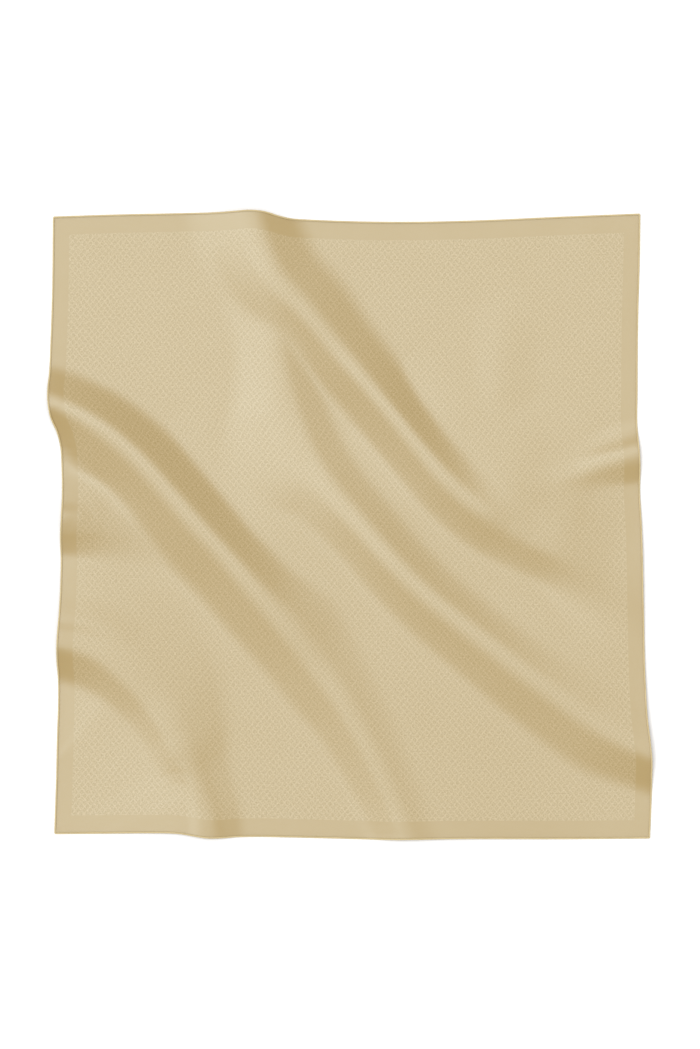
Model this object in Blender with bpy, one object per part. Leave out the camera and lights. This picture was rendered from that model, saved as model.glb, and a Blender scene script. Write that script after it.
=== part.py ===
"""Silk square scarf, laid out flat with a few soft folds running across it.

The scarf is one square of silk with its four edges rolled and sewn. The panel is modelled as a
wall of even thickness, and each rolled hem as a slim roll just outside the panel's edge.
Blender units are metres with +Z up. Left and right are -X and +X, front and back are -Y and +Y,
and the scarf rests on the plane Z = 0. The tables hold millimetres.
"""
from collections import namedtuple

import bpy
import numpy as np

# Driving sizes, in millimetres
WALL = 1.0               # thickness of the panel's wall
HEM_WIDTH = 2.4          # width and height of a rolled hem
SEAM_GAP = 0.3           # clearance between the panel and a hem, and at the mitred corners
SAMPLE_STEP = 3.0        # spacing of the points on a fold's crest and along an edge

# How finely the cloth is divided
COLUMNS = 52             # cells from left to right
ROWS = 54                # cells from front to back
HEM_SIDES = 6            # faces round a rolled hem

# Section of a fold, as shares of the slope between its crest and its foot
CREST_ROUND = 0.26       # share that rounds over at the crest
FOOT_ROUND = 0.36        # share that rounds out at the foot

MM = 0.001

SILK_COLOUR = (0.64, 0.54, 0.36)
HEM_COLOUR = (0.56, 0.46, 0.27)

# Plan of the panel: one row for each bend along an edge, at the line where the hem begins.
Bend = namedtuple("Bend", "x y")

FRONT_EDGE = [
    Bend(-411.4, -430.8),
    Bend(-326, -430.0),
    Bend(-279, -429.6),
    Bend(-250, -430.0),
    Bend(-235, -431.2),
    Bend(-220, -433.9),
    Bend(-200, -437.0),
    Bend(-180, -436.8),
    Bend(-160, -435.3),
    Bend(-140, -434.7),
    Bend(-84, -435.5),
    Bend(0, -437.6),
    Bend(30, -438.4),
    Bend(60, -439.2),
    Bend(92, -438.8),
    Bend(140, -437.9),
    Bend(304, -437.9),
    Bend(417.5, -437.1),
]
BACK_EDGE = [
    Bend(-413.2, 428.6),
    Bend(-326, 431.4),
    Bend(-235, 433.3),
    Bend(-185, 434.7),
    Bend(-160, 436.6),
    Bend(-140, 438.0),
    Bend(-120, 436.0),
    Bend(-100, 429.9),
    Bend(-82, 425.9),
    Bend(-60, 424.4),
    Bend(-22, 422.7),
    Bend(28, 421.4),
    Bend(100, 421.2),
    Bend(182, 423.3),
    Bend(304, 428.7),
    Bend(403.9, 432.6),
]
LEFT_EDGE = [
    Bend(-411.4, -430.8),
    Bend(-408.9, -358),
    Bend(-407.5, -297),
    Bend(-405.9, -240),
    Bend(-406.4, -212),
    Bend(-408.1, -192),
    Bend(-408.4, -170),
    Bend(-407.2, -150),
    Bend(-405.2, -128),
    Bend(-402.6, -75),
    Bend(-402.2, -50),
    Bend(-403.2, -20),
    Bend(-402.0, 12),
    Bend(-400.6, 40),
    Bend(-401.2, 80),
    Bend(-403.1, 110),
    Bend(-408.2, 130),
    Bend(-417.0, 150),
    Bend(-420.6, 170),
    Bend(-421.0, 190),
    Bend(-418.8, 210),
    Bend(-417.0, 248),
    Bend(-414.6, 317),
    Bend(-413.2, 428.6),
]
RIGHT_EDGE = [
    Bend(417.5, -437.1),
    Bend(419.6, -385),
    Bend(420.4, -352),
    Bend(420.6, -330),
    Bend(418.6, -308),
    Bend(414.0, -270),
    Bend(411.6, -230),
    Bend(408.6, -115),
    Bend(405.8, 0),
    Bend(403.4, 45),
    Bend(403.9, 88),
    Bend(402.4, 110),
    Bend(400.2, 130),
    Bend(400.0, 190),
    Bend(400.7, 285),
    Bend(403.2, 380),
    Bend(403.9, 432.6),
]

# The folds: one row for each place along a crest. Height is above the resting plane, and left and
# right are the widths of the two slopes, as seen by someone walking along the crest.
Crest = namedtuple("Crest", "x y height left right")

FOLDS = {
    "long_back_fold": [
        Crest(-144, 482, 10.2, 74, 98),
        Crest(-135, 430, 10.2, 74, 98),
        Crest(-126, 398, 10.6, 75, 98),
        Crest(-104, 350, 11.6, 77, 90),
        Crest(-62, 300, 12.2, 77, 71),
        Crest(-20, 250, 11.8, 69, 68),
        Crest(23, 200, 12.8, 62, 65),
        Crest(66, 150, 13.4, 52, 70),
        Crest(107, 100, 13, 51, 74),
        Crest(150, 52, 11, 53, 78),
        Crest(196, 14, 6.2, 50, 80),
        Crest(228, -6, 0, 50, 80),
    ],
    "tail": [
        Crest(30, 192, 0, 150, 64),
        Crest(66, 150, 2.5, 155, 70),
        Crest(107, 100, 6, 165, 76),
        Crest(150, 52, 10, 180, 78),
        Crest(200, 13, 12.8, 190, 80),
        Crest(250, -16, 11.2, 200, 76),
        Crest(292, -36, 10, 190, 77),
        Crest(325, -48, 8.3, 180, 106),
        Crest(365, -60, 6.4, 175, 146),
        Crest(410, -70, 5.6, 170, 172),
        Crest(450, -78, 5.4, 170, 180),
    ],
    "middle_fold": [
        Crest(-150, 482, 0, 60, 80),
        Crest(-143, 430, 0.8, 60, 80),
        Crest(-135, 398, 1.6, 62, 80),
        Crest(-123, 350, 3.2, 64, 74),
        Crest(-112, 300, 4.9, 66, 70),
        Crest(-104, 250, 5.6, 64, 66),
        Crest(-93, 200, 5.8, 60, 84),
        Crest(-77, 150, 6.2, 60, 128),
        Crest(-58, 100, 7.6, 66, 146),
        Crest(-26, 50, 9.6, 68, 94),
        Crest(16, 0, 11.4, 68, 77),
        Crest(60, -50, 12.2, 66, 78),
        Crest(111, -100, 12.2, 64, 80),
        Crest(158, -138, 11.8, 62, 82),
        Crest(202, -172, 11.2, 62, 84),
        Crest(252, -211, 10, 65, 84),
        Crest(302, -248, 8.2, 70, 84),
        Crest(350, -282, 7, 72, 80),
        Crest(400, -311, 6.4, 72, 66),
        Crest(430, -324, 6.4, 72, 62),
        Crest(480, -346, 6.4, 72, 62),
    ],
    "right_swell": [
        Crest(-78, 150, 0, 170, 80),
        Crest(-58, 100, 1, 170, 94),
        Crest(-26, 50, 3, 170, 84),
        Crest(16, 0, 5, 180, 78),
        Crest(60, -50, 6.5, 180, 78),
        Crest(111, -100, 7.5, 180, 80),
        Crest(158, -138, 8, 180, 82),
        Crest(202, -172, 8.6, 180, 84),
        Crest(252, -211, 9.4, 185, 84),
        Crest(302, -248, 9.8, 190, 84),
        Crest(350, -282, 9.8, 190, 80),
        Crest(400, -311, 9.8, 190, 66),
        Crest(430, -324, 9.8, 190, 62),
        Crest(480, -346, 9.8, 190, 62),
    ],
    "long_left_fold": [
        Crest(-470, 180, 12.6, 62, 56),
        Crest(-420, 171, 13, 62, 56),
        Crest(-390, 160, 14.2, 60, 66),
        Crest(-350, 139, 15.8, 60, 82),
        Crest(-297, 96, 16.6, 62, 86),
        Crest(-247, 42, 16.6, 63, 88),
        Crest(-206, -5, 16.6, 64, 88),
        Crest(-167, -48, 15.8, 65, 88),
        Crest(-125, -98, 14.8, 76, 88),
        Crest(-83, -149, 12.8, 98, 86),
        Crest(-45, -199, 10.2, 90, 82),
        Crest(-9, -249, 8.8, 78, 75),
        Crest(20, -300, 7.6, 70, 69),
        Crest(44, -348, 6.6, 64, 65),
        Crest(62, -388, 5.8, 60, 62),
        Crest(73, -418, 5.4, 58, 60),
        Crest(84, -450, 5, 58, 60),
    ],
    "centre_swell": [
        Crest(-300, 98, 0, 170, 86),
        Crest(-206, -5, 3, 200, 88),
        Crest(-167, -48, 4.6, 230, 88),
        Crest(-125, -98, 5.4, 250, 88),
        Crest(-83, -149, 6, 260, 86),
        Crest(-45, -199, 6.4, 270, 82),
        Crest(-9, -249, 6.6, 280, 75),
        Crest(20, -300, 6.6, 290, 69),
        Crest(44, -348, 6.2, 290, 65),
        Crest(66, -400, 5.6, 290, 61),
        Crest(84, -450, 5.2, 290, 60),
    ],
    "corner_fold": [
        Crest(-460, -164, 11, 180, 60),
        Crest(-404, -167, 11, 180, 60),
        Crest(-380, -172, 10.8, 178, 63),
        Crest(-350, -184, 10.4, 172, 66),
        Crest(-311, -215, 9.5, 165, 64),
        Crest(-281, -248, 8.6, 150, 60),
        Crest(-254, -290, 8.2, 118, 59),
        Crest(-235, -328, 7.2, 94, 59),
        Crest(-222, -355, 4.2, 78, 54),
        Crest(-213, -374, 2.4, 70, 54),
        Crest(-201, -405, 0, 64, 54),
    ],
    "corner_swell": [
        Crest(-380, -172, 0, 180, 180),
        Crest(-311, -215, 2.2, 220, 230),
        Crest(-281, -248, 2.5, 235, 230),
        Crest(-254, -290, 2.4, 240, 230),
        Crest(-235, -328, 2, 240, 230),
        Crest(-213, -374, 1.4, 240, 230),
        Crest(-195, -440, 1, 240, 230),
        Crest(-191, -490, 1, 240, 230),
    ],
    "corner_tail": [
        Crest(-281, -248, 0, 150, 230),
        Crest(-254, -290, 1.4, 112, 230),
        Crest(-235, -328, 2.8, 90, 230),
        Crest(-222, -355, 4.2, 78, 230),
        Crest(-213, -374, 5, 70, 230),
        Crest(-201, -405, 5.4, 64, 230),
        Crest(-195, -440, 5.4, 60, 230),
        Crest(-191, -490, 5.4, 60, 230),
    ],
    "small_left_fold": [
        Crest(-450, 3, 9.4, 90, 66),
        Crest(-400, 2, 9.4, 90, 66),
        Crest(-370, 1, 7.6, 90, 70),
        Crest(-340, -2, 5, 90, 78),
        Crest(-310, -4, 3, 90, 90),
        Crest(-275, -8, 1.4, 90, 100),
        Crest(-235, -12, 0.4, 90, 110),
        Crest(-200, -16, 0, 80, 110),
    ],
    "small_right_fold": [
        Crest(225, 52, 0, 70, 42),
        Crest(264, 60, 2, 62, 42),
        Crest(305, 69, 4.2, 56, 43),
        Crest(350, 81, 5.6, 54, 45),
        Crest(402, 94, 6.4, 54, 48),
        Crest(450, 104, 6.4, 54, 48),
    ],
    "faint_right_fold": [
        Crest(218, 330, 0, 60, 50),
        Crest(214, 262, 0.8, 60, 50),
        Crest(209, 205, 1, 60, 50),
        Crest(208, 150, 0.8, 60, 50),
        Crest(210, 96, 0, 60, 50),
    ],
}


def smooth_curve(rows):
    """Closely spaced samples of a smooth curve through the rows, with every column carried along."""
    knots = np.array(rows, dtype=float)
    spans = np.hypot(*np.diff(knots[:, :2], axis=0).T)
    along = np.concatenate([[0.0], np.cumsum(spans)])
    tangents = np.gradient(knots, along, axis=0)
    places = np.linspace(0.0, along[-1], int(along[-1] / SAMPLE_STEP) + 2)
    span = np.clip(np.searchsorted(along, places, side="right") - 1, 0, len(spans) - 1)
    length = spans[span][:, None]
    t = (places - along[span])[:, None] / length
    start = (2 * t**3 - 3 * t**2 + 1) * knots[span] + (t**3 - 2 * t**2 + t) * length * tangents[span]
    end = (3 * t**2 - 2 * t**3) * knots[span + 1] + (t**3 - t**2) * length * tangents[span + 1]
    return start + end


def evenly_spaced(rows, cells):
    """Plan points that divide a smooth edge into equal cells."""
    curve = smooth_curve(rows)
    steps = np.hypot(*np.diff(curve, axis=0).T)
    along = np.concatenate([[0.0], np.cumsum(steps)])
    places = np.linspace(0.0, along[-1], cells + 1)
    return np.column_stack([np.interp(places, along, column) for column in curve.T])


def panel_plan():
    """Plan grid of the panel, [row, column, xy], blended between the four edges."""
    front = evenly_spaced(FRONT_EDGE, COLUMNS)[None, :, :]
    back = evenly_spaced(BACK_EDGE, COLUMNS)[None, :, :]
    left = evenly_spaced(LEFT_EDGE, ROWS)[:, None, :]
    right = evenly_spaced(RIGHT_EDGE, ROWS)[:, None, :]
    u = np.linspace(0.0, 1.0, COLUMNS + 1)[None, :, None]
    v = np.linspace(0.0, 1.0, ROWS + 1)[:, None, None]
    between_ends = (1 - v) * front + v * back
    between_sides = (1 - u) * left + u * right
    front_corners = (1 - u) * front[:, :1] + u * front[:, -1:]
    back_corners = (1 - u) * back[:, :1] + u * back[:, -1:]
    return between_ends + between_sides - (1 - v) * front_corners - v * back_corners


def slope_section(share):
    """Share of a fold's height that is left at a share of the way from its crest to its foot."""
    steepness = 1 / (1 - CREST_ROUND / 2 - FOOT_ROUND / 2)
    crest = 1 - steepness * share**2 / (2 * CREST_ROUND)
    straight = 1 - steepness * (share - CREST_ROUND / 2)
    foot = steepness * (1 - np.minimum(share, 1))**2 / (2 * FOOT_ROUND)
    return np.where(share < CREST_ROUND, crest, np.where(share < 1 - FOOT_ROUND, straight, foot))


def fold_height(plan, crest):
    """Height that one fold gives to each plan point, from the nearest place on its crest."""
    offset = plan[..., None, :] - crest[:, :2]
    distance = np.hypot(offset[..., 0], offset[..., 1])
    nearest = np.argmin(distance, axis=-1)
    reach = np.take_along_axis(distance, nearest[..., None], axis=-1)[..., 0]
    away = plan - crest[nearest, :2]
    heading = np.gradient(crest[:, :2], axis=0)[nearest]
    on_left = heading[..., 0] * away[..., 1] > heading[..., 1] * away[..., 0]
    width = np.where(on_left, crest[nearest, 3], crest[nearest, 4])
    return np.maximum(crest[nearest, 2], 0) * slope_section(reach / width)


def cloth_height(plan):
    """Height of the cloth's underside above the resting plane. Folds that meet run together."""
    heights = [fold_height(plan, smooth_curve(rows)) for rows in FOLDS.values()]
    return np.sqrt(np.sum(np.square(heights), axis=0))


def rise(plan):
    """Vertical depth, per unit of wall, that keeps a sloping wall as thick as a level one."""
    probe = 1.0
    across = cloth_height(plan + (probe, 0)) - cloth_height(plan - (probe, 0))
    along = cloth_height(plan + (0, probe)) - cloth_height(plan - (0, probe))
    return np.sqrt(1 + (across**2 + along**2) / (2 * probe)**2)


def outward(edge, side):
    """Unit plan direction away from the panel at each point of an edge; side is 1 or -1."""
    heading = np.gradient(edge, axis=0)
    heading /= np.hypot(heading[:, 0], heading[:, 1])[:, None]
    return side * np.column_stack([heading[:, 1], -heading[:, 0]])


def cloth_object(name, points, faces, material):
    """One named object of the scarf, from points in millimetres."""
    mesh = bpy.data.meshes.new(name)
    mesh.from_pydata((np.asarray(points) * MM).tolist(), [], faces)
    mesh.materials.append(material)
    mesh.shade_smooth()
    mesh.set_sharp_from_angle(angle=np.radians(50))
    mesh.update()
    item = bpy.data.objects.new(name, mesh)
    bpy.context.collection.objects.link(item)
    return item


def cloth_material(name, colour, roughness):
    """Plain silk finish."""
    material = bpy.data.materials.new(name)
    material.use_nodes = True
    shader = material.node_tree.nodes["Principled BSDF"]
    shader.inputs["Base Color"].default_value = (*colour, 1)
    shader.inputs["Roughness"].default_value = roughness
    shader.inputs["Metallic"].default_value = 0
    return material


def make_panel(plan, material):
    """The square of silk: a wall of even thickness over the folds, level where it rests."""
    under = cloth_height(plan)
    over = under + WALL * rise(plan)
    points = [np.dstack([plan, level]).reshape(-1, 3) for level in (under, over)]
    rows, columns = plan.shape[:2]
    layer = rows * columns

    def corner(row, column, level):
        return level * layer + row * columns + column

    faces = []
    for row in range(rows - 1):
        for column in range(columns - 1):
            for level in (0, 1):
                near_left = corner(row, column, level)
                near_right = corner(row, column + 1, level)
                far_right = corner(row + 1, column + 1, level)
                far_left = corner(row + 1, column, level)
                # The cut runs along the folds, from the back left to the front right.
                triangles = [(near_left, near_right, far_left), (near_right, far_right, far_left)]
                faces += triangles if level else [triangle[::-1] for triangle in triangles]

    rim = [(0, column) for column in range(columns)]
    rim += [(row, columns - 1) for row in range(1, rows)]
    rim += [(rows - 1, column) for column in range(columns - 2, -1, -1)]
    rim += [(row, 0) for row in range(rows - 2, 0, -1)]
    for here, there in zip(rim, rim[1:] + rim[:1]):
        faces.append((corner(*here, 0), corner(*there, 0), corner(*there, 1), corner(*here, 1)))
    return cloth_object("silk_panel", np.vstack(points), faces, material)


def make_hem(name, edge, side, material):
    """A rolled hem: a slim roll that follows the panel's edge, mitred at both corners."""
    half = HEM_WIDTH / 2
    away = outward(edge, side)
    heading = np.gradient(edge, axis=0)
    heading /= np.hypot(heading[:, 0], heading[:, 1])[:, None]
    turns = -side * (2 * np.arange(HEM_SIDES) + 1) * np.pi / HEM_SIDES
    widest = np.max(np.cos(turns))
    level = np.max(np.sin(turns))
    resting = cloth_height(edge)
    depth = HEM_WIDTH * rise(edge)

    rings = []
    for index, point in enumerate(edge):
        end = {0: -1, len(edge) - 1: 1}.get(index, 0)
        for turn in turns:
            out = SEAM_GAP + half * (1 + np.cos(turn) / widest)
            mitre = end * (out - SEAM_GAP / 2 * 2**0.5)
            plan = point + away[index] * out + heading[index] * mitre
            height = resting[index] + depth[index] * (1 + np.sin(turn) / level) / 2
            rings.append((*plan, height))

    faces = []
    for index in range(len(edge) - 1):
        for k in range(HEM_SIDES):
            a = index * HEM_SIDES + k
            b = index * HEM_SIDES + (k + 1) % HEM_SIDES
            faces.append((a, b, b + HEM_SIDES, a + HEM_SIDES))
    faces.append(tuple(reversed(range(HEM_SIDES))))
    faces.append(tuple(range((len(edge) - 1) * HEM_SIDES, len(edge) * HEM_SIDES)))
    return cloth_object(name, rings, faces, material)


def centre_on_origin(items):
    """Shift the finished pieces so that the whole scarf's box stands centred on the origin."""
    places = np.array([vertex.co[:] for item in items for vertex in item.data.vertices])
    middle = (places.min(axis=0) + places.max(axis=0)) / 2
    for item in items:
        for vertex in item.data.vertices:
            vertex.co.x -= middle[0]
            vertex.co.y -= middle[1]


def clear_scene():
    for item in list(bpy.data.objects):
        bpy.data.objects.remove(item, do_unlink=True)


def build():
    clear_scene()
    silk = cloth_material("silk", SILK_COLOUR, 0.45)
    hem = cloth_material("rolled_hem", HEM_COLOUR, 0.55)
    plan = panel_plan()
    items = [
        make_panel(plan, silk),
        make_hem("hem_front", plan[0], 1, hem),
        make_hem("hem_back", plan[-1], -1, hem),
        make_hem("hem_left", plan[:, 0], -1, hem),
        make_hem("hem_right", plan[:, -1], 1, hem),
    ]
    centre_on_origin(items)


build()
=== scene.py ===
"""Silk square scarf laid out flat: the looks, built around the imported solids. Metres, +Z up.

The sizes of the scarf are written in millimetres, as a maker would give them.
"""
from collections import namedtuple

import bpy
import numpy as np
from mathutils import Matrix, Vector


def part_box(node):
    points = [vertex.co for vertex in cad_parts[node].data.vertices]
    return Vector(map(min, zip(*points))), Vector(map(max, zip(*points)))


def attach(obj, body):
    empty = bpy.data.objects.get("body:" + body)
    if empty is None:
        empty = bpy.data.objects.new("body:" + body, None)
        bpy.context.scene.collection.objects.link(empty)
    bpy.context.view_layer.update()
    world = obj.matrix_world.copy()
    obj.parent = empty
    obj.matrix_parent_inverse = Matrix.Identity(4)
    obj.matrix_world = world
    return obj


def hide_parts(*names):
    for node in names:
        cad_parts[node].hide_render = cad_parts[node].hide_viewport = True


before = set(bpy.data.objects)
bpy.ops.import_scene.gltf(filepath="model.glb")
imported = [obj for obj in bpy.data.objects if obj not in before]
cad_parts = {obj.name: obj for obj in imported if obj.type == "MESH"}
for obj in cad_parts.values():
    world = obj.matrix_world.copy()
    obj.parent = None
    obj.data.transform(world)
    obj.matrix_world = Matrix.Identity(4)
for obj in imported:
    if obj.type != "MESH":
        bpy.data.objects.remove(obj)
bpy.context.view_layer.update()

MM = 0.001


# ---------------------------------------------------------------------------------------------
# How the scarf lies. A light square of silk was let fall and smoothed out by hand, which left
# a few long soft folds running from the back left to the front right. The outline is the line
# where the flat silk turns into the rolled hem.

Bend = namedtuple("Bend", "x y")

FRONT_EDGE = [
    Bend(-411.4, -430.8),
    Bend(-326, -430.0),
    Bend(-279, -429.6),
    Bend(-250, -430.0),
    Bend(-235, -431.2),
    Bend(-220, -433.9),
    Bend(-200, -437.0),
    Bend(-180, -436.8),
    Bend(-160, -435.3),
    Bend(-140, -434.7),
    Bend(-84, -435.5),
    Bend(0, -437.6),
    Bend(30, -438.4),
    Bend(60, -439.2),
    Bend(92, -438.8),
    Bend(140, -437.9),
    Bend(304, -437.9),
    Bend(417.5, -437.1),
]
BACK_EDGE = [
    Bend(-413.2, 428.6),
    Bend(-326, 431.4),
    Bend(-235, 433.3),
    Bend(-185, 434.7),
    Bend(-160, 436.6),
    Bend(-140, 438.0),
    Bend(-120, 436.0),
    Bend(-100, 429.9),
    Bend(-82, 425.9),
    Bend(-60, 424.4),
    Bend(-22, 422.7),
    Bend(28, 421.4),
    Bend(100, 421.2),
    Bend(182, 423.3),
    Bend(304, 428.7),
    Bend(403.9, 432.6),
]
LEFT_EDGE = [
    Bend(-411.4, -430.8),
    Bend(-408.9, -358),
    Bend(-407.5, -297),
    Bend(-405.9, -240),
    Bend(-406.4, -212),
    Bend(-408.1, -192),
    Bend(-408.4, -170),
    Bend(-407.2, -150),
    Bend(-405.2, -128),
    Bend(-402.6, -75),
    Bend(-402.2, -50),
    Bend(-403.2, -20),
    Bend(-402.0, 12),
    Bend(-400.6, 40),
    Bend(-401.2, 80),
    Bend(-403.1, 110),
    Bend(-408.2, 130),
    Bend(-417.0, 150),
    Bend(-420.6, 170),
    Bend(-421.0, 190),
    Bend(-418.8, 210),
    Bend(-417.0, 248),
    Bend(-414.6, 317),
    Bend(-413.2, 428.6),
]
RIGHT_EDGE = [
    Bend(417.5, -437.1),
    Bend(419.6, -385),
    Bend(420.4, -352),
    Bend(420.6, -330),
    Bend(418.6, -308),
    Bend(414.0, -270),
    Bend(411.6, -230),
    Bend(408.6, -115),
    Bend(405.8, 0),
    Bend(403.4, 45),
    Bend(403.9, 88),
    Bend(402.4, 110),
    Bend(400.2, 130),
    Bend(400.0, 190),
    Bend(400.7, 285),
    Bend(403.2, 380),
    Bend(403.9, 432.6),
]

# The folds: one row for each place along a crest. Height is above the resting plane, and left and
# right are the widths of the two slopes, as seen by someone walking along the crest.
Crest = namedtuple("Crest", "x y height left right")

FOLDS = {
    "long_back_fold": [
        Crest(-144, 482, 10.2, 74, 98),
        Crest(-135, 430, 10.2, 74, 98),
        Crest(-126, 398, 10.6, 75, 98),
        Crest(-104, 350, 11.6, 77, 90),
        Crest(-62, 300, 12.2, 77, 71),
        Crest(-20, 250, 11.8, 69, 68),
        Crest(23, 200, 12.8, 62, 65),
        Crest(66, 150, 13.4, 52, 70),
        Crest(107, 100, 13, 51, 74),
        Crest(150, 52, 11, 53, 78),
        Crest(196, 14, 6.2, 50, 80),
        Crest(228, -6, 0, 50, 80),
    ],
    "tail": [
        Crest(30, 192, 0, 150, 64),
        Crest(66, 150, 2.5, 155, 70),
        Crest(107, 100, 6, 165, 76),
        Crest(150, 52, 10, 180, 78),
        Crest(200, 13, 12.8, 190, 80),
        Crest(250, -16, 11.2, 200, 76),
        Crest(292, -36, 10, 190, 77),
        Crest(325, -48, 8.3, 180, 106),
        Crest(365, -60, 6.4, 175, 146),
        Crest(410, -70, 5.6, 170, 172),
        Crest(450, -78, 5.4, 170, 180),
    ],
    "middle_fold": [
        Crest(-150, 482, 0, 60, 80),
        Crest(-143, 430, 0.8, 60, 80),
        Crest(-135, 398, 1.6, 62, 80),
        Crest(-123, 350, 3.2, 64, 74),
        Crest(-112, 300, 4.9, 66, 70),
        Crest(-104, 250, 5.6, 64, 66),
        Crest(-93, 200, 5.8, 60, 84),
        Crest(-77, 150, 6.2, 60, 128),
        Crest(-58, 100, 7.6, 66, 146),
        Crest(-26, 50, 9.6, 68, 94),
        Crest(16, 0, 11.4, 68, 77),
        Crest(60, -50, 12.2, 66, 78),
        Crest(111, -100, 12.2, 64, 80),
        Crest(158, -138, 11.8, 62, 82),
        Crest(202, -172, 11.2, 62, 84),
        Crest(252, -211, 10, 65, 84),
        Crest(302, -248, 8.2, 70, 84),
        Crest(350, -282, 7, 72, 80),
        Crest(400, -311, 6.4, 72, 66),
        Crest(430, -324, 6.4, 72, 62),
        Crest(480, -346, 6.4, 72, 62),
    ],
    "right_swell": [
        Crest(-78, 150, 0, 170, 80),
        Crest(-58, 100, 1, 170, 94),
        Crest(-26, 50, 3, 170, 84),
        Crest(16, 0, 5, 180, 78),
        Crest(60, -50, 6.5, 180, 78),
        Crest(111, -100, 7.5, 180, 80),
        Crest(158, -138, 8, 180, 82),
        Crest(202, -172, 8.6, 180, 84),
        Crest(252, -211, 9.4, 185, 84),
        Crest(302, -248, 9.8, 190, 84),
        Crest(350, -282, 9.8, 190, 80),
        Crest(400, -311, 9.8, 190, 66),
        Crest(430, -324, 9.8, 190, 62),
        Crest(480, -346, 9.8, 190, 62),
    ],
    "long_left_fold": [
        Crest(-470, 180, 12.6, 62, 56),
        Crest(-420, 171, 13, 62, 56),
        Crest(-390, 160, 14.2, 60, 66),
        Crest(-350, 139, 15.8, 60, 82),
        Crest(-297, 96, 16.6, 62, 86),
        Crest(-247, 42, 16.6, 63, 88),
        Crest(-206, -5, 16.6, 64, 88),
        Crest(-167, -48, 15.8, 65, 88),
        Crest(-125, -98, 14.8, 76, 88),
        Crest(-83, -149, 12.8, 98, 86),
        Crest(-45, -199, 10.2, 90, 82),
        Crest(-9, -249, 8.8, 78, 75),
        Crest(20, -300, 7.6, 70, 69),
        Crest(44, -348, 6.6, 64, 65),
        Crest(62, -388, 5.8, 60, 62),
        Crest(73, -418, 5.4, 58, 60),
        Crest(84, -450, 5, 58, 60),
    ],
    "centre_swell": [
        Crest(-300, 98, 0, 170, 86),
        Crest(-206, -5, 3, 200, 88),
        Crest(-167, -48, 4.6, 230, 88),
        Crest(-125, -98, 5.4, 250, 88),
        Crest(-83, -149, 6, 260, 86),
        Crest(-45, -199, 6.4, 270, 82),
        Crest(-9, -249, 6.6, 280, 75),
        Crest(20, -300, 6.6, 290, 69),
        Crest(44, -348, 6.2, 290, 65),
        Crest(66, -400, 5.6, 290, 61),
        Crest(84, -450, 5.2, 290, 60),
    ],
    "corner_fold": [
        Crest(-460, -164, 11, 180, 60),
        Crest(-404, -167, 11, 180, 60),
        Crest(-380, -172, 10.8, 178, 63),
        Crest(-350, -184, 10.4, 172, 66),
        Crest(-311, -215, 9.5, 165, 64),
        Crest(-281, -248, 8.6, 150, 60),
        Crest(-254, -290, 8.2, 118, 59),
        Crest(-235, -328, 7.2, 94, 59),
        Crest(-222, -355, 4.2, 78, 54),
        Crest(-213, -374, 2.4, 70, 54),
        Crest(-201, -405, 0, 64, 54),
    ],
    "corner_swell": [
        Crest(-380, -172, 0, 180, 180),
        Crest(-311, -215, 2.2, 220, 230),
        Crest(-281, -248, 2.5, 235, 230),
        Crest(-254, -290, 2.4, 240, 230),
        Crest(-235, -328, 2, 240, 230),
        Crest(-213, -374, 1.4, 240, 230),
        Crest(-195, -440, 1, 240, 230),
        Crest(-191, -490, 1, 240, 230),
    ],
    "corner_tail": [
        Crest(-281, -248, 0, 150, 230),
        Crest(-254, -290, 1.4, 112, 230),
        Crest(-235, -328, 2.8, 90, 230),
        Crest(-222, -355, 4.2, 78, 230),
        Crest(-213, -374, 5, 70, 230),
        Crest(-201, -405, 5.4, 64, 230),
        Crest(-195, -440, 5.4, 60, 230),
        Crest(-191, -490, 5.4, 60, 230),
    ],
    "small_left_fold": [
        Crest(-450, 3, 9.4, 90, 66),
        Crest(-400, 2, 9.4, 90, 66),
        Crest(-370, 1, 7.6, 90, 70),
        Crest(-340, -2, 5, 90, 78),
        Crest(-310, -4, 3, 90, 90),
        Crest(-275, -8, 1.4, 90, 100),
        Crest(-235, -12, 0.4, 90, 110),
        Crest(-200, -16, 0, 80, 110),
    ],
    "small_right_fold": [
        Crest(225, 52, 0, 70, 42),
        Crest(264, 60, 2, 62, 42),
        Crest(305, 69, 4.2, 56, 43),
        Crest(350, 81, 5.6, 54, 45),
        Crest(402, 94, 6.4, 54, 48),
        Crest(450, 104, 6.4, 54, 48),
    ],
    "faint_right_fold": [
        Crest(218, 330, 0, 60, 50),
        Crest(214, 262, 0.8, 60, 50),
        Crest(209, 205, 1, 60, 50),
        Crest(208, 150, 0.8, 60, 50),
        Crest(210, 96, 0, 60, 50),
    ],
}

# Fine creases on top of the folds, where the silk is pinched at its edges.
CREASES = {
    "left_upper_pinch": [
        Crest(-430, 14, 1.2, 20, 22),
        Crest(-400, 14, 1.2, 20, 22),
        Crest(-382, 13, 0.8, 20, 22),
        Crest(-362, 12, 0, 20, 22),
    ],
    "left_lower_pinch": [
        Crest(-440, -133, 1.3, 40, 20),
        Crest(-400, -133, 1.3, 40, 20),
        Crest(-372, -136, 1.2, 40, 21),
        Crest(-338, -145, 0.9, 38, 24),
        Crest(-296, -160, 0, 36, 24),
    ],
    "front_pinch": [
        Crest(-234, -328, 0, 34, 20),
        Crest(-223, -356, 0.9, 34, 19),
        Crest(-215, -386, 1.1, 36, 18),
        Crest(-211, -412, 1.1, 38, 18),
        Crest(-210, -450, 1.0, 38, 19),
    ],
    "right_pinch": [
        Crest(316, 86, 0, 17, 26),
        Crest(348, 95, 0.8, 17, 26),
        Crest(392, 107, 1.1, 18, 26),
        Crest(450, 121, 1.1, 18, 26),
    ],
}

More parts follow.
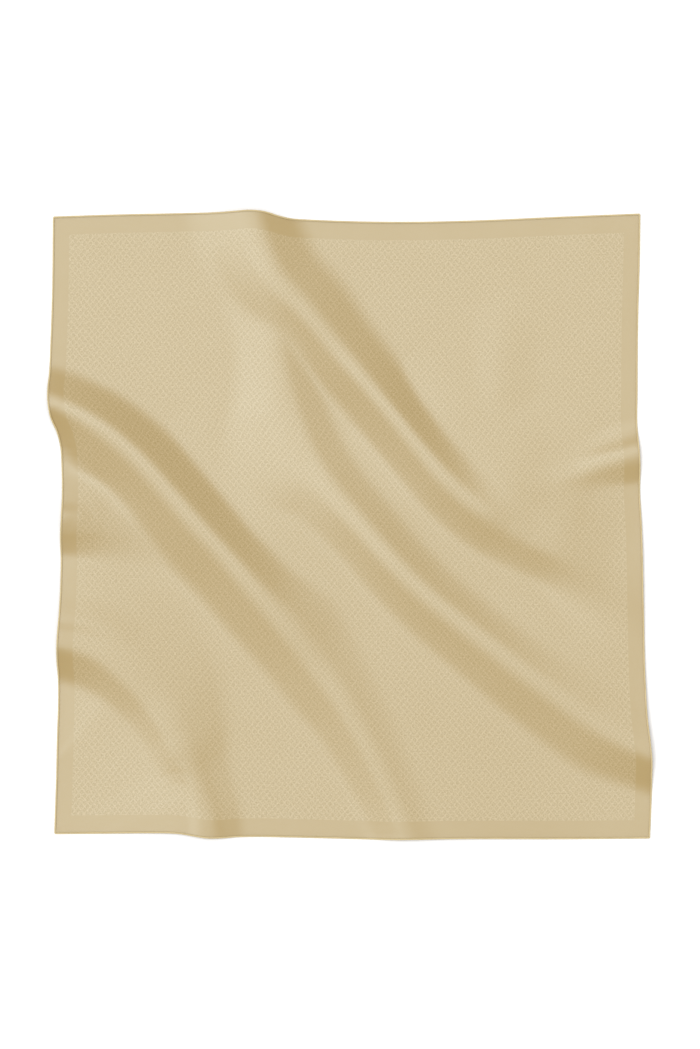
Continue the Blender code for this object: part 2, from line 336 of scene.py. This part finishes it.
CREST_ROUND = 0.26       # share of a slope that rounds over at the crest
FOOT_ROUND = 0.36        # share of a slope that rounds out at the foot
SAMPLE_STEP = 2.0        # spacing of the points along a crest or an edge
POINTS_AT_ONCE = 4000    # plan points measured together, which keeps the tables small


def smooth_curve(rows):
    """Closely spaced samples of a smooth curve through the rows, with every column carried along."""
    knots = np.array(rows, dtype=float)
    spans = np.hypot(*np.diff(knots[:, :2], axis=0).T)
    along = np.concatenate([[0.0], np.cumsum(spans)])
    tangents = np.gradient(knots, along, axis=0)
    places = np.linspace(0.0, along[-1], int(along[-1] / SAMPLE_STEP) + 2)
    span = np.clip(np.searchsorted(along, places, side="right") - 1, 0, len(spans) - 1)
    length = spans[span][:, None]
    t = (places - along[span])[:, None] / length
    start = (2 * t**3 - 3 * t**2 + 1) * knots[span] + (t**3 - 2 * t**2 + t) * length * tangents[span]
    end = (3 * t**2 - 2 * t**3) * knots[span + 1] + (t**3 - t**2) * length * tangents[span + 1]
    return start + end


def evenly_spaced(rows, cells):
    """Plan points that divide a smooth edge into equal cells."""
    curve = smooth_curve(rows)
    steps = np.hypot(*np.diff(curve, axis=0).T)
    along = np.concatenate([[0.0], np.cumsum(steps)])
    places = np.linspace(0.0, along[-1], cells + 1)
    return np.column_stack([np.interp(places, along, column) for column in curve.T])


def slope_section(share):
    """Share of a fold's height left at a share of the way from its crest to its foot."""
    steepness = 1 / (1 - CREST_ROUND / 2 - FOOT_ROUND / 2)
    crest = 1 - steepness * share**2 / (2 * CREST_ROUND)
    straight = 1 - steepness * (share - CREST_ROUND / 2)
    foot = steepness * (1 - np.minimum(share, 1))**2 / (2 * FOOT_ROUND)
    return np.where(share < CREST_ROUND, crest, np.where(share < 1 - FOOT_ROUND, straight, foot))


def fold_height(plan, crest):
    """Height that one fold gives to each plan point, from the nearest place on its crest."""
    flat = plan.reshape(-1, 2)
    height = np.zeros(len(flat))
    reach = crest[:, 3:].max()
    low, high = crest[:, :2].min(axis=0) - reach, crest[:, :2].max(axis=0) + reach
    near = np.flatnonzero(np.all((flat > low) & (flat < high), axis=1))
    for group in np.array_split(near, max(1, len(near) // POINTS_AT_ONCE)):
        points = flat[group]
        offset = points[:, None, :] - crest[None, :, :2]
        distance = np.hypot(offset[..., 0], offset[..., 1])
        nearest = np.argmin(distance, axis=1)
        away = points - crest[nearest, :2]
        heading = np.gradient(crest[:, :2], axis=0)[nearest]
        on_left = heading[:, 0] * away[:, 1] > heading[:, 1] * away[:, 0]
        width = np.where(on_left, crest[nearest, 3], crest[nearest, 4])
        share = np.hypot(away[:, 0], away[:, 1]) / width
        height[group] = np.maximum(crest[nearest, 2], 0) * slope_section(share)
    return height.reshape(plan.shape[:-1])


def cloth_height(plan):
    """Height of the cloth's underside above the resting plane. Folds that meet run together."""
    heights = [fold_height(plan, smooth_curve(rows)) for rows in FOLDS.values()]
    creases = [fold_height(plan, smooth_curve(rows)) for rows in CREASES.values()]
    return np.sqrt(np.sum(np.square(heights), axis=0)) + np.sum(creases, axis=0)


# ---------------------------------------------------------------------------------------------
# The square: one piece of printed silk twill, cut on the grain. It is shown as a thin shell over
# the folds, and its outermost threads run on into the rolled hems.

SILK_THICK = 0.35        # thickness of the shell
SILK_LIFT = 0.10         # how far the shell's underside clears the resting plane
TUCK = 1.1               # how far the silk runs on into the roll of a hem
SILK_COLUMNS = 212
SILK_ROWS = 220
RIM_ANGLE = 50           # degrees, past which an edge of the shell stays sharp


def silk_plan():
    """Plan grid of the square, [row, column, xy], blended between its four edges."""
    front = evenly_spaced(FRONT_EDGE, SILK_COLUMNS)[None, :, :]
    back = evenly_spaced(BACK_EDGE, SILK_COLUMNS)[None, :, :]
    left = evenly_spaced(LEFT_EDGE, SILK_ROWS)[:, None, :]
    right = evenly_spaced(RIGHT_EDGE, SILK_ROWS)[:, None, :]
    u = np.linspace(0.0, 1.0, SILK_COLUMNS + 1)[None, :, None]
    v = np.linspace(0.0, 1.0, SILK_ROWS + 1)[:, None, None]
    between_ends = (1 - v) * front + v * back
    between_sides = (1 - u) * left + u * right
    front_corners = (1 - u) * front[:, :1] + u * front[:, -1:]
    back_corners = (1 - u) * back[:, :1] + u * back[:, -1:]
    return between_ends + between_sides - (1 - v) * front_corners - v * back_corners


def run_lengths(points, axis):
    """Length along the cloth from its first edge to each point, and the whole run's length."""
    steps = np.linalg.norm(np.diff(points, axis=axis), axis=-1)
    first = np.zeros_like(np.take(steps, [0], axis=axis))
    along = np.concatenate([first, np.cumsum(steps, axis=axis)], axis=axis)
    return along, np.take(along, [-1], axis=axis)


def shell_faces(rows, columns):
    """Quads of a closed shell of two like grids, the upper one numbered after the lower."""
    number = np.arange(rows * columns).reshape(rows, columns)
    quads = np.stack([number[:-1, :-1], number[:-1, 1:], number[1:, 1:], number[1:, :-1]], axis=-1)
    quads = quads.reshape(-1, 4)
    rim = np.concatenate([number[0, :-1], number[:-1, -1], number[-1, :0:-1], number[:0:-1, 0]])
    ahead = np.roll(rim, -1)
    upper = rows * columns
    sides = np.stack([rim, ahead, ahead + upper, rim + upper], axis=-1)
    return np.concatenate([quads[:, ::-1], quads + upper, sides]).tolist()


plan = silk_plan()
under = cloth_height(plan)
cad_low, cad_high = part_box("silk_panel")
cad_middle = np.array([cad_low.x + cad_high.x, cad_low.y + cad_high.y]) / 2 / MM
plan_shift = cad_middle - (plan.min(axis=(0, 1)) + plan.max(axis=(0, 1))) / 2

surface = np.dstack([plan, under])
across, whole_width = run_lengths(surface, 1)
along, whole_length = run_lengths(surface, 0)
SILK_WIDTH = float(np.mean(whole_width))
SILK_LENGTH = float(np.mean(whole_length))
cut_x = across / whole_width * SILK_WIDTH
cut_y = along / whole_length * SILK_LENGTH

slope_x = np.gradient(under, axis=1) / np.gradient(plan[..., 0], axis=1)
slope_y = np.gradient(under, axis=0) / np.gradient(plan[..., 1], axis=0)
steep = np.sqrt(1 + slope_x**2 + slope_y**2)

tucked = plan.copy()
tucked[0, :, 1] -= TUCK
tucked[-1, :, 1] += TUCK
tucked[:, 0, 0] -= TUCK
tucked[:, -1, 0] += TUCK
layers = [
    np.dstack([tucked + plan_shift, under + SILK_LIFT]),
    np.dstack([tucked + plan_shift, under + SILK_LIFT + SILK_THICK * steep]),
]
silk_mesh = bpy.data.meshes.new("silk_square")
silk_mesh.from_pydata(
    (np.concatenate([layer.reshape(-1, 3) for layer in layers]) * MM).tolist(),
    [],
    shell_faces(*plan.shape[:2]),
)
silk_mesh.shade_smooth()
silk_mesh.set_sharp_from_angle(angle=np.radians(RIM_ANGLE))
cut = np.stack([cut_x, cut_y], axis=-1).reshape(-1, 2)
cut = np.concatenate([cut, cut]) * MM
corners = np.array([loop.vertex_index for loop in silk_mesh.loops])
silk_mesh.uv_layers.new(name="cut").data.foreach_set("uv", cut[corners].astype(np.float32).ravel())
silk_square = bpy.data.objects.new("silk_square", silk_mesh)
bpy.context.scene.collection.objects.link(silk_square)


class Signal:
    """One output in a node tree. Sums written with it add the Math nodes that work them out."""

    def __init__(self, tree, socket):
        self.tree = tree
        self.socket = socket

    def __getitem__(self, name):
        """Another output of the same node."""
        return Signal(self.tree, self.socket.node.outputs[name])

    def math(self, operation, *values):
        return add_node(self.tree, "ShaderNodeMath", {"operation": operation}, dict(enumerate(values)))

    def __add__(self, other):
        return self.math("ADD", self, other)

    __radd__ = __add__

    def __sub__(self, other):
        return self.math("SUBTRACT", self, other)

    def __rsub__(self, other):
        return self.math("SUBTRACT", other, self)

    def __mul__(self, other):
        return self.math("MULTIPLY", self, other)

    __rmul__ = __mul__

    def __truediv__(self, other):
        return self.math("DIVIDE", self, other)

    def __abs__(self):
        return self.math("ABSOLUTE", self)

    def fraction(self):
        return self.math("FRACT", self)

    def sine(self):
        return self.math("SINE", self)

    def least(self, other):
        return self.math("MINIMUM", self, other)

    def most(self, other):
        return self.math("MAXIMUM", self, other)

    def step(self, low, high):
        """0 below low, 1 above high, and an even slope between them."""
        limits = {"Value": self, "From Min": low, "From Max": high}
        return add_node(self.tree, "ShaderNodeMapRange", {"clamp": True}, limits)


def add_node(tree, kind, settings=None, sockets=None):
    """Add a node, its settings, then its sockets by name or identifier. Gives its first live output."""
    node = tree.nodes.new(kind)
    for name, value in (settings or {}).items():
        setattr(node, name, value)
    for name, value in (sockets or {}).items():
        named = [socket for socket in node.inputs if socket.identifier == name]
        socket = named[0] if named else node.inputs[name]
        if isinstance(value, Signal):
            tree.links.new(value.socket, socket)
        else:
            socket.default_value = value
    return Signal(tree, next(socket for socket in node.outputs if socket.enabled))


def mixed(factor, low, high):
    """A colour between two others."""
    sockets = {"Factor_Float": factor, "A_Color": low, "B_Color": high}
    return add_node(factor.tree, "ShaderNodeMix", {"data_type": "RGBA"}, sockets)


def new_finish(name, **constants):
    """A material with a Principled shader, the constants set on the shader's own sockets."""
    material = bpy.data.materials.new(name)
    material.use_nodes = True
    shader = material.node_tree.nodes["Principled BSDF"]
    for socket, value in constants.items():
        shader.inputs[socket.replace("_", " ")].default_value = value
    return material, material.node_tree, shader


# The print runs with the threads: a plain border, and inside it a bird's-eye diaper of small
# lozenges in a thin trellis, each with a ring and a centre dot, tone on tone.
SIDE_BORDER = 20.3       # at the left and the right
END_BORDER = 23.3        # at the front and the back
BORDER_BLEND = 0.4       # how far the border's edge runs into the threads, to each side
LOZENGE_WIDE = 8.4
LOZENGE_HIGH = 10.2
TWILL_PITCH = 0.55
TWILL_RELIEF = 0.02
SILK_ROUGHNESS = 0.36
PRINT_DARK = (0.311, 0.204, 0.042, 1)
PRINT_LIGHT = (0.486, 0.350, 0.162, 1)
BORDER = (0.374, 0.247, 0.070, 1)
SHEEN = (0.82, 0.96, 1.00, 1)
GROUND_TONE = 0.547      # from dark, 0, to light, 1
TRELLIS_TONE = 0.10      # how much lighter the trellis is than the ground
FIGURE_TONE = 0.29       # how much darker the ring and the dot are
GRAIN_TONE = 1.5         # how far single threads stray
KEEP_POSITIVE = 100      # whole lozenges added, so that the count across stays above 0

# Where each part of a lozenge fades in, as a share of the way across from its centre.
DOT_RIM = (0.07, 0.12)
RING_INSIDE = (0.19, 0.23)
RING_OUTSIDE = (0.30, 0.34)
TRELLIS_INSIDE = (0.42, 0.46)

silk, tree, shader = new_finish("printed_silk", Specular_IOR_Level=1.0, IOR=1.55, Specular_Tint=SHEEN)
place = add_node(tree, "ShaderNodeUVMap", {"uv_map": "cut"})
parts = add_node(tree, "ShaderNodeSeparateXYZ", sockets={"Vector": place})
east = parts["X"] * (1 / MM)
north = parts["Y"] * (1 / MM)
from_side = east.least(SILK_WIDTH - east) - SIDE_BORDER
from_end = north.least(SILK_LENGTH - north) - END_BORDER
field = from_side.least(from_end).step(-BORDER_BLEND, BORDER_BLEND)

rising_way = east / LOZENGE_WIDE + north / LOZENGE_HIGH
falling_way = east / LOZENGE_WIDE - north / LOZENGE_HIGH + KEEP_POSITIVE
from_centre = abs(rising_way.fraction() - 0.5).most(abs(falling_way.fraction() - 0.5))
dot = 1 - from_centre.step(*DOT_RIM)
ring = from_centre.step(*RING_INSIDE) * (1 - from_centre.step(*RING_OUTSIDE))
figure = dot.most(ring) * field
trellis = from_centre.step(*TRELLIS_INSIDE)
grain = add_node(tree, "ShaderNodeTexNoise", sockets={"Vector": place, "Scale": 480.0, "Detail": 1.0})
tone = GROUND_TONE + trellis * TRELLIS_TONE - figure * FIGURE_TONE + (grain - 0.5) * GRAIN_TONE
colour = mixed(field, BORDER, mixed(tone, PRINT_DARK, PRINT_LIGHT))
tree.links.new(colour.socket, shader.inputs["Base Color"])

wander = add_node(tree, "ShaderNodeTexNoise", sockets={"Vector": place, "Scale": 14.0, "Detail": 4.0})
roughness = SILK_ROUGHNESS + figure * 0.06 + (wander - 0.5) * 0.05
tree.links.new(roughness.socket, shader.inputs["Roughness"])

twill = ((east + north) * (2 * np.pi / TWILL_PITCH)).sine()
relief = twill * 0.5 + figure * 0.6
bump = add_node(
    tree, "ShaderNodeBump", sockets={"Strength": 0.5, "Distance": TWILL_RELIEF * MM, "Height": relief}
)
tree.links.new(bump.socket, shader.inputs["Normal"])

silk_mesh.materials.append(silk)
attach(silk_square, "root")
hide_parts("silk_panel")


# ---------------------------------------------------------------------------------------------
# The rolled hems: on each side the square's own edge is turned over twice between finger and
# thumb into a slim roll, which the thread inside it draws in a little between the stitches.

ROLL_WIDTH = 2.4
ROLL_OFF_EDGE = 1.5      # from the edge line to the middle of the roll
ROLL_STEP = 1.2          # spacing of the sections along a roll
ROLL_SIDES = 10
STITCH_SPACING = 6.0
EDGES = {
    "front": (plan[0], 1),
    "right": (plan[:, -1], 1),
    "back": (plan[-1], -1),
    "left": (plan[:, 0], -1),
}


def roll_path(edge, side):
    """Middle line of a roll along an edge, run so that the scarf lies on its left. Its ends meet
    the next rolls at the corners of the square."""
    heading = np.gradient(edge, axis=0)
    heading /= np.hypot(heading[:, 0], heading[:, 1])[:, None]
    outward = side * np.column_stack([heading[:, 1], -heading[:, 0]])
    middle = edge + outward * ROLL_OFF_EDGE
    middle[0] -= heading[0] * ROLL_OFF_EDGE
    middle[-1] += heading[-1] * ROLL_OFF_EDGE
    level = cloth_height(edge) + ROLL_WIDTH / 2
    line = np.column_stack([middle + plan_shift, level]) * MM
    return line if side > 0 else line[::-1]


def path_object(name, line):
    """A line of edges, for a node tree to work on."""
    mesh = bpy.data.meshes.new(name)
    mesh.from_pydata(line.tolist(), [(k, k + 1) for k in range(len(line) - 1)], [])
    item = bpy.data.objects.new(name, mesh)
    bpy.context.scene.collection.objects.link(item)
    return item


def new_growth(name, sizes):
    """A Geometry Nodes tree, the shape it is given, and one named input for each size."""
    group = bpy.data.node_groups.new(name, "GeometryNodeTree")
    group.interface.new_socket("Geometry", in_out="INPUT", socket_type="NodeSocketGeometry")
    group.interface.new_socket("Geometry", in_out="OUTPUT", socket_type="NodeSocketGeometry")
    for size in sizes:
        group.interface.new_socket(size, in_out="INPUT", socket_type="NodeSocketFloat")
    return group, add_node(group, "NodeGroupInput")


def grow(item, group, shape, finish, sizes):
    """End the tree in real geometry with a finish, and turn the object into what the tree makes."""
    whole = add_node(group, "GeometryNodeRealizeInstances", sockets={"Geometry": shape})
    dressed = add_node(group, "GeometryNodeSetMaterial", sockets={"Geometry": whole, "Material": finish})
    end = group.nodes.new("NodeGroupOutput")
    group.links.new(dressed.socket, end.inputs["Geometry"])
    modifier = item.modifiers.new(group.name, "NODES")
    modifier.node_group = group
    for socket in group.interface.items_tree:
        if socket.name in sizes:
            modifier[socket.identifier] = sizes[socket.name]
    graph = bpy.context.evaluated_depsgraph_get()
    mesh = bpy.data.meshes.new_from_object(item.evaluated_get(graph))
    item.modifiers.clear()
    item.data = mesh
    return item


hem_silk, tree, shader = new_finish("rolled_silk", Specular_IOR_Level=1.0, Roughness=0.45)
spot = add_node(tree, "ShaderNodeTexCoord")["Object"]
drift = add_node(tree, "ShaderNodeTexNoise", sockets={"Vector": spot, "Scale": 60.0, "Detail": 3.0})
# The hem's two tones are painted lighter than the border's silk: a painted highlight that makes up for the
# sheen its steep rolled sides lose. The noise between the two tones is random tone.
shade = mixed(drift.step(0.35, 0.65), (0.495, 0.382, 0.172, 1), (0.545, 0.425, 0.202, 1))
tree.links.new(shade.socket, shader.inputs["Base Color"])
pucker = add_node(tree, "ShaderNodeTexNoise", sockets={"Vector": spot, "Scale": 700.0, "Detail": 2.0})
bump = add_node(tree, "ShaderNodeBump", sockets={"Strength": 0.4, "Distance": 0.15 * MM, "Height": pucker})
tree.links.new(bump.socket, shader.inputs["Normal"])

for edge_name, (edge, side) in EDGES.items():
    roll = path_object(f"rolled_hem_{edge_name}", roll_path(edge, side))
    sizes = {
        "Roll width": ROLL_WIDTH * MM,
        "Section spacing": ROLL_STEP * MM,
        "Stitch spacing": STITCH_SPACING * MM,
        "Draw between stitches": 0.10,
        "Unevenness": 0.10,
    }
    group, given = new_growth(roll.name, sizes)
    line = add_node(group, "GeometryNodeMeshToCurve", sockets={"Mesh": given["Geometry"]})
    line = add_node(
        group,
        "GeometryNodeResampleCurve",
        {"mode": "LENGTH"},
        {"Curve": line, "Length": given["Section spacing"]},
    )
    run = add_node(group, "GeometryNodeSplineParameter")["Length"]
    from_middle = abs((run / given["Stitch spacing"]).fraction() - 0.5)
    drawn = (1 - from_middle.step(0.0, 0.35)) * given["Draw between stitches"]
    lumps = add_node(
        group, "ShaderNodeTexNoise", {"noise_dimensions": "1D"}, {"W": run, "Scale": 130.0, "Detail": 2.0}
    )
    swell = (lumps - 0.5) * given["Unevenness"]
    radius = (1 - drawn + swell) * given["Roll width"] / 2
    section = add_node(
        group, "GeometryNodeCurvePrimitiveCircle", sockets={"Resolution": ROLL_SIDES, "Radius": 1.0}
    )
    tube = add_node(
        group,
        "GeometryNodeCurveToMesh",
        sockets={"Curve": line, "Profile Curve": section, "Scale": radius, "Fill Caps": True},
    )
    smooth = add_node(group, "GeometryNodeSetShadeSmooth", sockets={"Geometry": tube, "Shade Smooth": True})
    grow(roll, group, smooth, hem_silk, sizes)
    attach(roll, "root")
    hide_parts(f"hem_{edge_name}")


# ---------------------------------------------------------------------------------------------
# The slip stitches: one fine silk thread on each side, which slants from the roll down to the
# square every few millimetres and runs unseen inside the roll between them.

THREAD_WIDTH = 0.28

# Where a stitch runs, from the middle of the roll: along it, across it and down.
STITCH_TOP = (-0.5, -0.68, -0.70)
STITCH_BEND = (0.0, -1.75, -0.60)
STITCH_FOOT = (0.5, -1.75, 0.90)

thread_silk, tree, shader = new_finish("silk_thread", Roughness=0.5, Sheen_Weight=0.2)
spot = add_node(tree, "ShaderNodeTexCoord")["Object"]
drift = add_node(tree, "ShaderNodeTexNoise", sockets={"Vector": spot, "Scale": 90.0})
shade = mixed(drift.step(0.3, 0.7), (0.47, 0.365, 0.175, 1), (0.55, 0.435, 0.220, 1))
tree.links.new(shade.socket, shader.inputs["Base Color"])

for edge_name, (edge, side) in EDGES.items():
    stitches = path_object(f"slip_stitches_{edge_name}", roll_path(edge, side))
    sizes = {"Stitch spacing": STITCH_SPACING * MM, "Thread width": THREAD_WIDTH * MM}
    group, given = new_growth(stitches.name, sizes)
    line = add_node(group, "GeometryNodeMeshToCurve", sockets={"Mesh": given["Geometry"]})
    line = add_node(group, "GeometryNodeSetCurveNormal", {"mode": "Z_UP"}, {"Curve": line})
    spots = add_node(
        group,
        "GeometryNodeCurveToPoints",
        {"mode": "LENGTH"},
        {"Curve": line, "Length": given["Stitch spacing"]},
    )
    turn = add_node(
        group,
        "FunctionNodeAxesToRotation",
        {"primary_axis": "X", "secondary_axis": "Y"},
        {"Primary Axis": spots["Tangent"], "Secondary Axis": spots["Normal"]},
    )
    stitch = add_node(
        group,
        "GeometryNodeCurveQuadraticBezier",
        sockets={
            "Resolution": 5,
            "Start": [size * MM for size in STITCH_TOP],
            "Middle": [size * MM for size in STITCH_BEND],
            "End": [size * MM for size in STITCH_FOOT],
        },
    )
    section = add_node(
        group,
        "GeometryNodeCurvePrimitiveCircle",
        sockets={"Resolution": 6, "Radius": given["Thread width"] / 2},
    )
    thread = add_node(
        group,
        "GeometryNodeCurveToMesh",
        sockets={"Curve": stitch, "Profile Curve": section, "Fill Caps": True},
    )
    smooth = add_node(
        group, "GeometryNodeSetShadeSmooth", sockets={"Geometry": thread, "Shade Smooth": True}
    )
    sewn = add_node(
        group,
        "GeometryNodeInstanceOnPoints",
        sockets={"Points": spots, "Instance": smooth, "Rotation": turn},
    )
    grow(stitches, group, sewn, thread_silk, sizes)
    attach(stitches, "root")


# ---------------------------------------------------------------------------------------------
# The table that it lies on, the light and the camera. Two soft lights hang above and to the
# left, and the room fills in the rest.

FLOOR_SIDE = 6.0
CAMERA_HEIGHT = 20.0
VIEW_HEIGHT = 1.4686     # what the camera takes in, from its lower to its upper edge, on the table
SENSOR = 36.0

floor_mesh = bpy.data.meshes.new("floor")
half = FLOOR_SIDE / 2
floor_corners = [(-half, -half, 0), (half, -half, 0), (half, half, 0), (-half, half, 0)]
floor_mesh.from_pydata(floor_corners, [], [(0, 1, 2, 3)])
floor = bpy.data.objects.new("floor", floor_mesh)
bpy.context.scene.collection.objects.link(floor)
paper, tree, shader = new_finish("white_paper", Roughness=0.9, Specular_IOR_Level=0.0)
shader.inputs["Base Color"].default_value = (0.95, 0.95, 0.95, 1)
floor_mesh.materials.append(paper)

world = bpy.data.worlds.new("room")
world.use_nodes = True
room = world.node_tree.nodes["Background"]
room.inputs["Color"].default_value = (1.0, 1.0, 1.0, 1)
room.inputs["Strength"].default_value = 0.82
bpy.context.scene.world = world

# The key is a wide round softbox far overhead, off to the left and back. A smaller one further
# to the left lights the slopes that face it.
Softbox = namedtuple("Softbox", "strength spread lean turn")

SOFTBOXES = {
    # Angles in degrees: across the light, from straight above, and from the left to the back.
    "key": Softbox(0.97, 37, 10, 50),
    "side": Softbox(0.58, 24, 24, 14),
}

for box_name, box in SOFTBOXES.items():
    lamp = bpy.data.lights.new(box_name, "SUN")
    lamp.energy = box.strength
    lamp.angle = np.radians(box.spread)
    item = bpy.data.objects.new(box_name, lamp)
    item.rotation_euler = (0, np.radians(-box.lean), np.radians(-box.turn))
    bpy.context.scene.collection.objects.link(item)

camera_data = bpy.data.cameras.new("camera")
camera_data.sensor_width = SENSOR
camera_data.lens = SENSOR * CAMERA_HEIGHT / VIEW_HEIGHT
camera = bpy.data.objects.new("camera", camera_data)
camera.location = (plan_shift[0] * MM, plan_shift[1] * MM, CAMERA_HEIGHT)
bpy.context.scene.collection.objects.link(camera)
bpy.context.scene.camera = camera
bpy.context.scene.view_settings.view_transform = "Standard"
